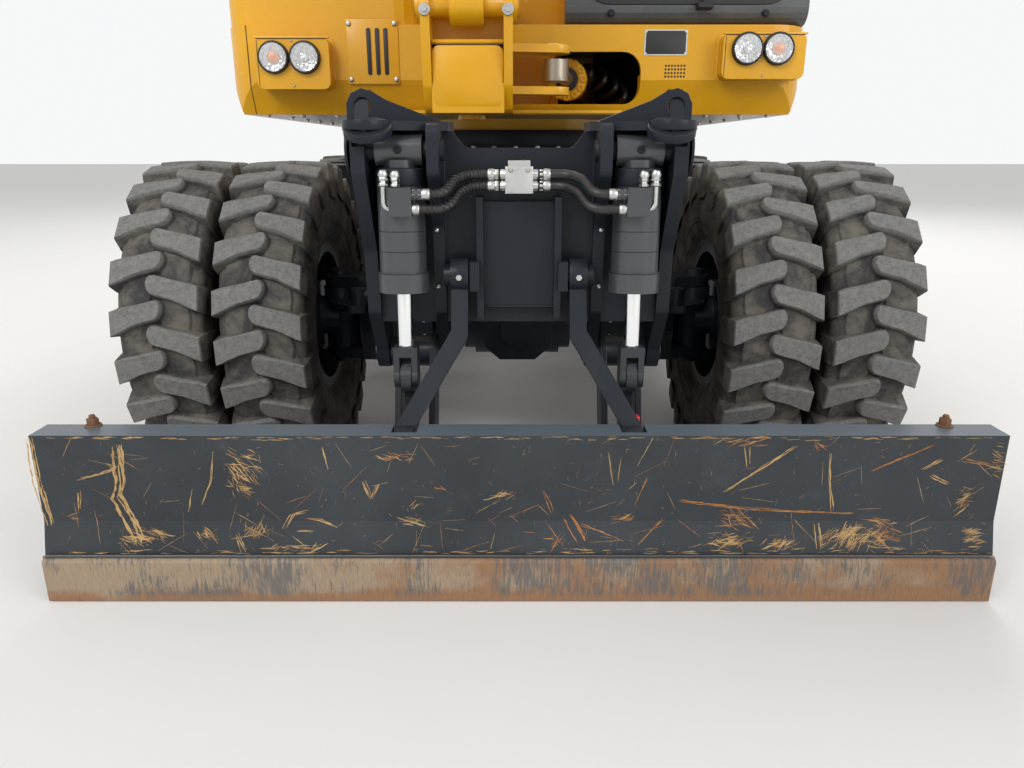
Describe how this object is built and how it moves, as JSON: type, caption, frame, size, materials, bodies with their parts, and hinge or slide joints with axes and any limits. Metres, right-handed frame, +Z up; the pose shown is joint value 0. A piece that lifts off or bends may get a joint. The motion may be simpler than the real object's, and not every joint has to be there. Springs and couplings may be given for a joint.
{
  "type": "wheeled excavator",
  "caption": "Wheeled excavator with twin tyres, a parallel-linkage dozer blade, a slewing upper with a glazed cab, and a swing boom with arm and bucket.",
  "frame": {"origin": "on the ground under the middle of the bounding box", "axes": "+Z up, -Y towards the blade, +X towards the cab side"},
  "size_m": [2.46, 6.8362, 5.0346],
  "materials": {
    "machine_yellow": "semi-gloss paint with light dust",
    "frame_dark": "satin dark paint with scratches",
    "blade_dark": "scuffed dark paint with worn edges",
    "wear_steel": "rusty worn steel with vertical streaks",
    "tyre_rubber": "dusty black rubber",
    "rod_chrome": "polished rod",
    "zinc": "zinc-plated, dull",
    "hose_black": "black hose with spiral wrap",
    "trim_black": "matt black",
    "pin_steel": "machined pins and links",
    "glass": "clear tinted glass",
    "seat_cloth": "dark cloth"
  },
  "bodies": {
    "undercarriage": {"chassis": "frame_dark", "blade_mount": "frame_dark", "slew_ring": "frame_dark", "steps": "frame_dark", "front_axle": "frame_dark", "rear_axle": "frame_dark", "valve_block": "zinc", "blade_hoses": "hose_black"},
    "upper": {"upper_frame": "machine_yellow", "counterweight": "frame_dark", "side_housing": "machine_yellow", "engine": "trim_black", "cab_frame": "machine_yellow", "cab_glass": "glass", "seat": "seat_cloth", "controls": "trim_black", "handrails": "trim_black", "lamps": "machine_yellow"},
    "hood": {"hood": "machine_yellow"},
    "side_door": {"side_door": "machine_yellow"},
    "cab_door": {"cab_door": "machine_yellow", "door_glass": "glass"},
    "knuckle_left": {"knuckle_left": "frame_dark"},
    "knuckle_right": {"knuckle_right": "frame_dark"},
    "steering_rod": {"steering_rod": "frame_dark"},
    "blade_arms": {"blade_arms": "frame_dark"},
    "blade_links": {"blade_links": "pin_steel"},
    "blade": {"blade": "blade_dark", "cutting_edge": "wear_steel"},
    "blade_barrels": {"blade_barrels": "frame_dark"},
    "blade_rods": {"blade_rods": "rod_chrome"},
    "swing_bracket": {"swing_bracket": "machine_yellow"},
    "swing_barrel": {"swing_barrel": "machine_yellow"},
    "swing_rod": {"swing_rod": "rod_chrome"},
    "boom": {"boom": "machine_yellow"},
    "boom_barrel": {"boom_barrel": "machine_yellow"},
    "boom_rod": {"boom_rod": "rod_chrome"},
    "arm": {"arm": "machine_yellow"},
    "arm_barrel": {"arm_barrel": "machine_yellow"},
    "arm_rod": {"arm_rod": "rod_chrome"},
    "rocker": {"rocker": "frame_dark"},
    "bucket_link": {"bucket_link": "frame_dark"},
    "bucket": {"bucket": "frame_dark"},
    "bucket_barrel": {"bucket_barrel": "machine_yellow"},
    "bucket_rod": {"bucket_rod": "rod_chrome"},
    "wheel_front_left": {"tyres_front_left": "tyre_rubber", "rims_front_left": "frame_dark"},
    "wheel_front_right": {"tyres_front_right": "tyre_rubber", "rims_front_right": "frame_dark"},
    "wheel_rear_left": {"tyres_rear_left": "tyre_rubber", "rims_rear_left": "frame_dark"},
    "wheel_rear_right": {"tyres_rear_right": "tyre_rubber", "rims_rear_right": "frame_dark"}
  },
  "joints": [
    {"name": "slew", "type": "hinge", "parent": "undercarriage", "child": "upper", "pos_m": [0, 1.81815, 1.214], "axis": [0, 0, 1], "continuous": true},
    {"name": "steer_left", "type": "hinge", "parent": "undercarriage", "child": "knuckle_left", "pos_m": [0.64, 0.41815, 0.5475], "axis": [0, 0, 1], "range_deg": [-28, 28]},
    {"name": "steer_right", "type": "hinge", "parent": "undercarriage", "child": "knuckle_right", "pos_m": [-0.64, 0.41815, 0.5475], "axis": [0, 0, 1], "range_deg": [-28.2, 28.2]},
    {"name": "steering_slide", "type": "slide", "parent": "undercarriage", "child": "steering_rod", "axis": [1, 0, 0], "range_m": [-0.073, 0.073]},
    {"name": "wheel_front_left_spin", "type": "hinge", "parent": "knuckle_left", "child": "wheel_front_left", "pos_m": [0.939, 0.41815, 0.5475], "axis": [1, 0, 0], "continuous": true},
    {"name": "wheel_rear_left_spin", "type": "hinge", "parent": "undercarriage", "child": "wheel_rear_left", "pos_m": [0.939, 2.81815, 0.5475], "axis": [1, 0, 0], "continuous": true},
    {"name": "wheel_front_right_spin", "type": "hinge", "parent": "knuckle_right", "child": "wheel_front_right", "pos_m": [-0.939, 0.41815, 0.5475], "axis": [1, 0, 0], "continuous": true},
    {"name": "wheel_rear_right_spin", "type": "hinge", "parent": "undercarriage", "child": "wheel_rear_right", "pos_m": [-0.939, 2.81815, 0.5475], "axis": [1, 0, 0], "continuous": true},
    {"name": "blade_lift", "type": "hinge", "parent": "undercarriage", "child": "blade_arms", "pos_m": [0, -0.15685, 0.56], "axis": [-1, 0, 0], "range_deg": [-8, 47]},
    {"name": "blade_level", "type": "hinge", "parent": "blade_arms", "child": "blade", "pos_m": [0, -0.31685, 0.148], "axis": [1, 0, 0], "range_deg": [-8.5, 47.5]},
    {"name": "blade_links_swing", "type": "hinge", "parent": "undercarriage", "child": "blade_links", "pos_m": [0, -0.33185, 0.812], "axis": [-1, 0, 0], "range_deg": [-8.5, 47.5]},
    {"name": "blade_barrels_swing", "type": "hinge", "parent": "undercarriage", "child": "blade_barrels", "pos_m": [0, -0.36685, 1.128], "axis": [-1, 0, 0], "range_deg": [-6.6, 37.4], "deforming": ["blade_hoses"]},
    {"name": "blade_rods_slide", "type": "slide", "parent": "blade_barrels", "child": "blade_rods", "axis": [0, -0.0521, -0.9986], "range_m": [-0.1402, 0.0252]},
    {"name": "boom_swing", "type": "hinge", "parent": "upper", "child": "swing_bracket", "pos_m": [-0.165, 0.62815, 1.5], "axis": [0, 0, 1], "range_deg": [-50, 50]},
    {"name": "swing_barrel_turn", "type": "hinge", "parent": "upper", "child": "swing_barrel", "pos_m": [0.33, 1.61815, 1.395], "axis": [0, 0, 1], "range_deg": [-1.2, 1.2]},
    {"name": "swing_rod_slide", "type": "slide", "parent": "swing_barrel", "child": "swing_rod", "axis": [-0.1798, -0.9837, 0], "range_m": [-0.2505, 0.2505]},
    {"name": "boom_lift", "type": "hinge", "parent": "swing_bracket", "child": "boom", "pos_m": [-0.165, 0.52815, 1.96], "axis": [-1, 0, 0], "range_deg": [-75, 25]},
    {"name": "boom_barrel_swing", "type": "hinge", "parent": "swing_bracket", "child": "boom_barrel", "pos_m": [-0.165, 0.39815, 1.58], "axis": [-1, 0, 0], "range_deg": [-70.2, 23.6]},
    {"name": "boom_rod_slide", "type": "slide", "parent": "boom_barrel", "child": "boom_rod", "axis": [0, -0.4608, 0.8875], "range_m": [-0.4432, 0.1482]},
    {"name": "arm_curl", "type": "hinge", "parent": "boom", "child": "arm", "pos_m": [-0.165, -2.37012, 4.56961], "axis": [1, 0, 0], "range_deg": [-87, 23]},
    {"name": "arm_barrel_swing", "type": "hinge", "parent": "boom", "child": "arm_barrel", "pos_m": [-0.165, -0.83086, 4.11214], "axis": [-1, 0, 0], "range_deg": [-4.6, 1.5]},
    {"name": "arm_rod_slide", "type": "slide", "parent": "arm_barrel", "child": "arm_rod", "axis": [0, -0.8646, 0.5024], "range_m": [-0.566, 0.151]},
    {"name": "bucket_curl", "type": "hinge", "parent": "arm", "child": "bucket", "pos_m": [-0.165, -3.03706, 2.73721], "axis": [1, 0, 0], "range_deg": [-115, 15]},
    {"name": "rocker_swing", "type": "hinge", "parent": "arm", "child": "rocker", "pos_m": [-0.165, -2.89341, 3.13188], "axis": [1, 0, 0], "range_deg": [-115.5, 15.5]},
    {"name": "bucket_link_swing", "type": "hinge", "parent": "rocker", "child": "bucket_link", "pos_m": [-0.165, -3.2225, 2.94188], "axis": [-1, 0, 0], "range_deg": [-115.5, 15.5]},
    {"name": "bucket_barrel_swing", "type": "hinge", "parent": "arm", "child": "bucket_barrel", "pos_m": [-0.165, -2.67939, 4.59704], "axis": [-1, 0, 0], "range_deg": [-0.6, 2.7]},
    {"name": "bucket_rod_slide", "type": "slide", "parent": "bucket_barrel", "child": "bucket_rod", "axis": [0, -0.3118, -0.9502], "range_m": [-0.668, 0.0875]},
    {"name": "hood_lid", "type": "hinge", "parent": "upper", "child": "hood", "pos_m": [0, 2.42215, 2.305], "axis": [1, 0, 0], "range_deg": [0, 50]},
    {"name": "cab_door_hinge", "type": "hinge", "parent": "upper", "child": "cab_door", "pos_m": [1.127, 1.72815, 2.283], "axis": [0, 0, 1], "range_deg": [0, 150]},
    {"name": "side_door_hinge", "type": "hinge", "parent": "upper", "child": "side_door", "pos_m": [-1.139, 1.98815, 1.883], "axis": [0, 0, -1], "range_deg": [0, 110]}
  ],
  "couplings": [
    {"joint": "steer_right", "follows": "steer_left", "ratio": 1},
    {"joint": "steering_slide", "follows": "steer_left", "m_per_rad": 0.146},
    {"joint": "blade_level", "follows": "blade_lift", "ratio": 1},
    {"joint": "blade_links_swing", "follows": "blade_lift", "ratio": 1},
    {"joint": "blade_barrels_swing", "follows": "blade_lift", "ratio": 0.7782},
    {"joint": "blade_rods_slide", "follows": "blade_lift", "m_per_rad": -0.16862},
    {"joint": "swing_barrel_turn", "follows": "boom_swing", "ratio": 0.0225},
    {"joint": "swing_rod_slide", "follows": "boom_swing", "m_per_rad": -0.28579},
    {"joint": "boom_barrel_swing", "follows": "boom_lift", "ratio": 0.93},
    {"joint": "boom_rod_slide", "follows": "boom_lift", "m_per_rad": 0.33805},
    {"joint": "arm_barrel_swing", "follows": "arm_curl", "ratio": 0.0506},
    {"joint": "arm_rod_slide", "follows": "arm_curl", "m_per_rad": 0.37191},
    {"joint": "rocker_swing", "follows": "bucket_curl", "ratio": 1},
    {"joint": "bucket_link_swing", "follows": "bucket_curl", "ratio": 1},
    {"joint": "bucket_barrel_swing", "follows": "bucket_curl", "ratio": -0.0197},
    {"joint": "bucket_rod_slide", "follows": "bucket_curl", "m_per_rad": 0.33214}
  ]
}
